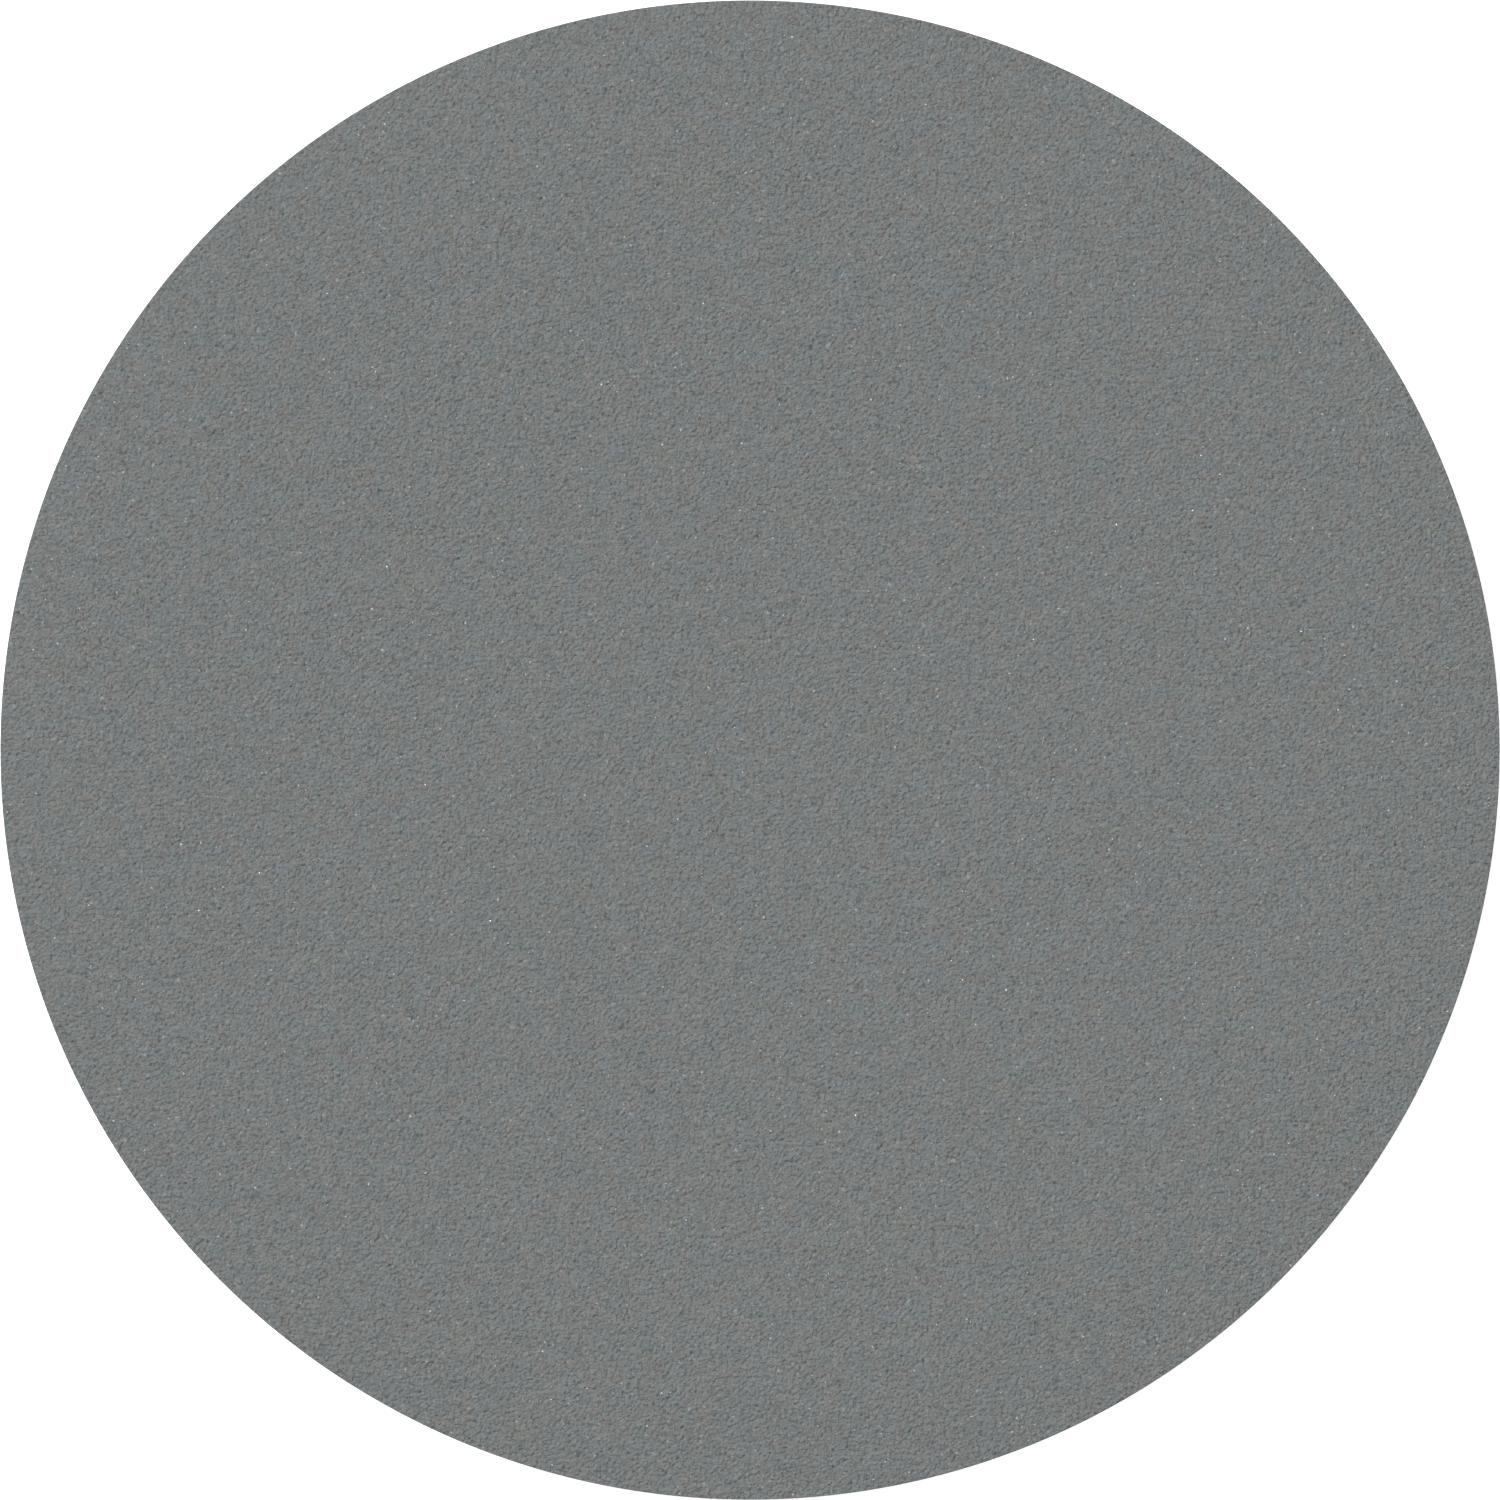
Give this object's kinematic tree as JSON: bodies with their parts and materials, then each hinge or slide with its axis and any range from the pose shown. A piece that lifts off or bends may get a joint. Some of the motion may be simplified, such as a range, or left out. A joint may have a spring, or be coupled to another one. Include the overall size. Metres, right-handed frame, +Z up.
{
  "type": "manhole cover",
  "caption": "Round flat-topped manhole cover with a gritted glass-fibre lid, hinged over a galvanised neck frame, with lock, drop handles and hold-open bar.",
  "frame": {"origin": "centre of the base, at the underside of the base gasket", "axes": "+Z up through the gritted top, -Y towards the lock, +Y towards the hinge"},
  "size_m": [0.8, 0.8, 0.106],
  "materials": {
    "bonded_grit": "matte",
    "glass_fibre": "matte",
    "seal_rubber": "matte",
    "galvanised_steel": "satin",
    "stainless_steel": "satin",
    "plug_brass": "satin",
    "plated_bolt": "satin"
  },
  "bodies": {
    "frame": {"base_gasket": "seal_rubber", "base_flange": "galvanised_steel", "collar": "galvanised_steel", "gusset_1": "galvanised_steel", "gusset_2": "galvanised_steel", "gusset_3": "galvanised_steel", "gusset_4": "galvanised_steel", "gusset_5": "galvanised_steel", "gusset_6": "galvanised_steel", "hinge_lug_left": "galvanised_steel", "hinge_lug_right": "galvanised_steel", "hinge_pin_left": "stainless_steel", "hinge_pin_right": "stainless_steel", "hinge_washer_left": "stainless_steel", "hinge_washer_right": "stainless_steel", "split_pin_left": "stainless_steel", "split_pin_right": "stainless_steel", "lock_keeper": "galvanised_steel", "prop_bracket": "galvanised_steel", "prop_pin": "stainless_steel", "prop_rest": "galvanised_steel"},
    "lid": {"grit_top": "bonded_grit", "lid_pan": "glass_fibre", "lid_seal": "seal_rubber", "rib_hub": "glass_fibre", "rib_1": "glass_fibre", "rib_2": "glass_fibre", "rib_3": "glass_fibre", "rib_4": "glass_fibre", "rib_5": "glass_fibre", "rib_6": "glass_fibre", "rib_7": "glass_fibre", "rib_8": "glass_fibre", "prop_clevis": "galvanised_steel", "hinge_leaf_left": "galvanised_steel", "hinge_leaf_right": "galvanised_steel", "leaf_bolt_1": "plated_bolt", "leaf_bolt_2": "plated_bolt", "leaf_bolt_3": "plated_bolt", "leaf_bolt_4": "plated_bolt", "lock_housing": "stainless_steel", "lock_nut": "plated_bolt", "handle_bracket_left": "galvanised_steel", "handle_bracket_right": "galvanised_steel"},
    "lock": {"lock_plug": "plug_brass", "lock_cam": "galvanised_steel", "cam_screw": "plated_bolt"},
    "handle_left": {"handle_left": "stainless_steel"},
    "handle_right": {"handle_right": "stainless_steel"},
    "prop": {"prop_bar": "galvanised_steel"}
  },
  "joints": [
    {"name": "lid_hinge", "type": "hinge", "parent": "frame", "child": "lid", "pos_m": [0, 0.351, 0.075], "axis": [-1, 0, 0], "range_deg": [0, 95]},
    {"name": "prop_swing", "type": "hinge", "parent": "frame", "child": "prop", "pos_m": [0.2085, 0.15, 0.04], "axis": [-1, 0, 0], "range_deg": [0, 132.3]},
    {"name": "lock_turn", "type": "hinge", "parent": "lid", "child": "lock", "pos_m": [0, -0.3679, 0.08], "axis": [0, -1, 0], "range_deg": [0, 90]},
    {"name": "handle_left_swing", "type": "hinge", "parent": "lid", "child": "handle_left", "pos_m": [-0.15415, -0.34623, 0.056], "axis": [-0.9135, 0.4067, 0], "range_deg": [0, 100]},
    {"name": "handle_right_swing", "type": "hinge", "parent": "lid", "child": "handle_right", "pos_m": [0.15415, -0.34623, 0.056], "axis": [-0.9135, -0.4067, 0], "range_deg": [0, 100]}
  ],
  "couplings": [
    {"joint": "prop_swing", "follows": "lid_hinge", "ratio": 1.3925}
  ]
}
